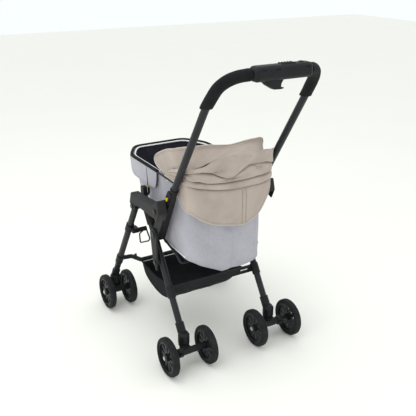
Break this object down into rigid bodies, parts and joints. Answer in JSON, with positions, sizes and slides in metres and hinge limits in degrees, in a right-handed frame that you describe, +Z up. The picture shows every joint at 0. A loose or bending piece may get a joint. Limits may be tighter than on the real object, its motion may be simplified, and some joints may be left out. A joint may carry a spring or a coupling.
{
  "type": "pet stroller",
  "caption": "Folding pet stroller with a fabric cabin, a folded hood, a reversible push handle, an under-basket and twin-wheel swivel casters.",
  "frame": {"origin": "on the floor, under the centre of the stroller's bounding box", "axes": "+Z up, front of the stroller towards -Y, left side of the stroller towards +X"},
  "size_m": [0.523, 0.785, 1.004],
  "materials": {
    "tube": "satin",
    "plastic_black": "moulded satin",
    "plastic_grey": "moulded satin",
    "tyre": "matt",
    "rim": "moulded satin",
    "steel": "brushed",
    "foam": "matt foam",
    "lock_yellow": "moulded satin",
    "bag_fabric": "woven melange",
    "canopy_fabric": "woven",
    "basket_fabric": "woven"
  },
  "bodies": {
    "rear_frame": {"rear_leg_left": "tube", "rear_leg_right": "tube", "rear_crossbar": "plastic_black", "rear_leg_sockets": "plastic_black", "apex_brackets": "plastic_black", "frame_pins": "tube", "bag_shell": "bag_fabric", "bag_rim": "tube", "support_bow": "tube", "canopy": "canopy_fabric", "basket": "basket_fabric"},
    "front_frame": {"front_leg_left": "tube", "front_leg_right": "tube", "front_leg_sockets": "plastic_black", "front_leg_heads": "plastic_black", "front_crossbar": "plastic_black", "bail_brackets": "plastic_black", "wire_bails": "tube"},
    "armrests": {"armrest_left": "plastic_grey", "armrest_right": "plastic_grey", "elbow_pins": "tube"},
    "links": {"lower_links": "plastic_grey"},
    "stays": {"side_stays": "plastic_black", "hub_pins": "tube"},
    "handle": {"handle_tube": "tube", "foam_grips": "foam", "handle_arm_left": "plastic_black", "handle_arm_right": "plastic_black", "grip_housing_top": "plastic_black", "grip_housing_bottom": "plastic_black"},
    "lever": {"fold_lever": "plastic_black"},
    "button": {"lock_button": "plastic_grey"},
    "slider_left": {"lock_slider_left": "lock_yellow"},
    "slider_right": {"lock_slider_right": "lock_yellow"},
    "caster_rear_left": {"caster_yoke_rear_left": "plastic_black", "axle_rear_left": "steel"},
    "wheel_rear_left_outer": {"rim_rear_left_outer": "rim", "tyre_rear_left_outer": "tyre"},
    "wheel_rear_left_inner": {"rim_rear_left_inner": "rim", "tyre_rear_left_inner": "tyre"},
    "pedal_left": {"brake_pedal_left": "plastic_grey"},
    "caster_rear_right": {"caster_yoke_rear_right": "plastic_black", "axle_rear_right": "steel"},
    "wheel_rear_right_outer": {"rim_rear_right_outer": "rim", "tyre_rear_right_outer": "tyre"},
    "wheel_rear_right_inner": {"rim_rear_right_inner": "rim", "tyre_rear_right_inner": "tyre"},
    "pedal_right": {"brake_pedal_right": "plastic_grey"},
    "caster_front_left": {"caster_yoke_front_left": "plastic_black", "axle_front_left": "steel"},
    "wheel_front_left_outer": {"rim_front_left_outer": "rim", "tyre_front_left_outer": "tyre"},
    "wheel_front_left_inner": {"rim_front_left_inner": "rim", "tyre_front_left_inner": "tyre"},
    "caster_front_right": {"caster_yoke_front_right": "plastic_black", "axle_front_right": "steel"},
    "wheel_front_right_outer": {"rim_front_right_outer": "rim", "tyre_front_right_outer": "tyre"},
    "wheel_front_right_inner": {"rim_front_right_inner": "rim", "tyre_front_right_inner": "tyre"}
  },
  "joints": [
    {"name": "fold", "type": "hinge", "parent": "rear_frame", "child": "front_frame", "pos_m": [0, -0.1215, 0.482], "axis": [1, 0, 0], "range_deg": [0, 40], "deforming": ["basket"]},
    {"name": "armrest_fold", "type": "hinge", "parent": "rear_frame", "child": "armrests", "pos_m": [0, -0.1215, 0.482], "axis": [1, 0, 0], "range_deg": [-28, 0]},
    {"name": "link_fold", "type": "hinge", "parent": "rear_frame", "child": "links", "pos_m": [0, -0.01028, 0.316], "axis": [1, 0, 0], "range_deg": [-100, 0]},
    {"name": "stay_fold", "type": "hinge", "parent": "links", "child": "stays", "pos_m": [0, -0.0195, 0.412], "axis": [1, 0, 0], "range_deg": [0, 151.4]},
    {"name": "handle_reverse", "type": "hinge", "parent": "stays", "child": "handle", "pos_m": [0, -0.0195, 0.412], "axis": [-1, 0, 0], "range_deg": [-60, 0]},
    {"name": "lever_squeeze", "type": "hinge", "parent": "handle", "child": "lever", "pos_m": [0, 0.3715, 0.965], "axis": [1, 0, 0], "range_deg": [0, 10], "stiffness_Nm_per_rad": 0.6},
    {"name": "button_press", "type": "slide", "parent": "handle", "child": "button", "axis": [0, 0, -1], "range_m": [0, 0.002], "stiffness_N_per_m": 300},
    {"name": "slider_left_slide", "type": "slide", "parent": "handle", "child": "slider_left", "axis": [0, 0.5069, 0.862], "range_m": [0, 0.008], "stiffness_N_per_m": 150},
    {"name": "slider_right_slide", "type": "slide", "parent": "handle", "child": "slider_right", "axis": [0, 0.5069, 0.862], "range_m": [0, 0.008], "stiffness_N_per_m": 150},
    {"name": "caster_rear_left_swivel", "type": "hinge", "parent": "rear_frame", "child": "caster_rear_left", "pos_m": [0.168, 0.1365, 0.09], "axis": [0, 0, 1], "continuous": true},
    {"name": "wheel_rear_left_outer_spin", "type": "hinge", "parent": "caster_rear_left", "child": "wheel_rear_left_outer", "pos_m": [0.238, 0.1625, 0.065], "axis": [1, 0, 0], "continuous": true},
    {"name": "wheel_rear_left_inner_spin", "type": "hinge", "parent": "caster_rear_left", "child": "wheel_rear_left_inner", "pos_m": [0.098, 0.1625, 0.065], "axis": [1, 0, 0], "continuous": true},
    {"name": "pedal_left_press", "type": "hinge", "parent": "caster_rear_left", "child": "pedal_left", "pos_m": [0.195, 0.1625, 0.065], "axis": [-1, 0, 0], "range_deg": [0, 20]},
    {"name": "caster_rear_right_swivel", "type": "hinge", "parent": "rear_frame", "child": "caster_rear_right", "pos_m": [-0.168, 0.1365, 0.09], "axis": [0, 0, 1], "continuous": true},
    {"name": "wheel_rear_right_outer_spin", "type": "hinge", "parent": "caster_rear_right", "child": "wheel_rear_right_outer", "pos_m": [-0.238, 0.1625, 0.065], "axis": [1, 0, 0], "continuous": true},
    {"name": "wheel_rear_right_inner_spin", "type": "hinge", "parent": "caster_rear_right", "child": "wheel_rear_right_inner", "pos_m": [-0.098, 0.1625, 0.065], "axis": [1, 0, 0], "continuous": true},
    {"name": "pedal_right_press", "type": "hinge", "parent": "caster_rear_right", "child": "pedal_right", "pos_m": [-0.195, 0.1625, 0.065], "axis": [-1, 0, 0], "range_deg": [0, 20]},
    {"name": "caster_front_left_swivel", "type": "hinge", "parent": "front_frame", "child": "caster_front_left", "pos_m": [0.203, -0.3515, 0.09], "axis": [0, 0, 1], "continuous": true},
    {"name": "wheel_front_left_outer_spin", "type": "hinge", "parent": "caster_front_left", "child": "wheel_front_left_outer", "pos_m": [0.2455, -0.3275, 0.065], "axis": [1, 0, 0], "continuous": true},
    {"name": "wheel_front_left_inner_spin", "type": "hinge", "parent": "caster_front_left", "child": "wheel_front_left_inner", "pos_m": [0.1605, -0.3275, 0.065], "axis": [1, 0, 0], "continuous": true},
    {"name": "caster_front_right_swivel", "type": "hinge", "parent": "front_frame", "child": "caster_front_right", "pos_m": [-0.203, -0.3515, 0.09], "axis": [0, 0, 1], "continuous": true},
    {"name": "wheel_front_right_outer_spin", "type": "hinge", "parent": "caster_front_right", "child": "wheel_front_right_outer", "pos_m": [-0.2455, -0.3275, 0.065], "axis": [1, 0, 0], "continuous": true},
    {"name": "wheel_front_right_inner_spin", "type": "hinge", "parent": "caster_front_right", "child": "wheel_front_right_inner", "pos_m": [-0.1605, -0.3275, 0.065], "axis": [1, 0, 0], "continuous": true}
  ],
  "couplings": [
    {"joint": "armrest_fold", "follows": "fold", "ratio": -0.7},
    {"joint": "link_fold", "follows": "fold", "ratio": -2.5},
    {"joint": "stay_fold", "follows": "fold", "ratio": 3.785}
  ]
}
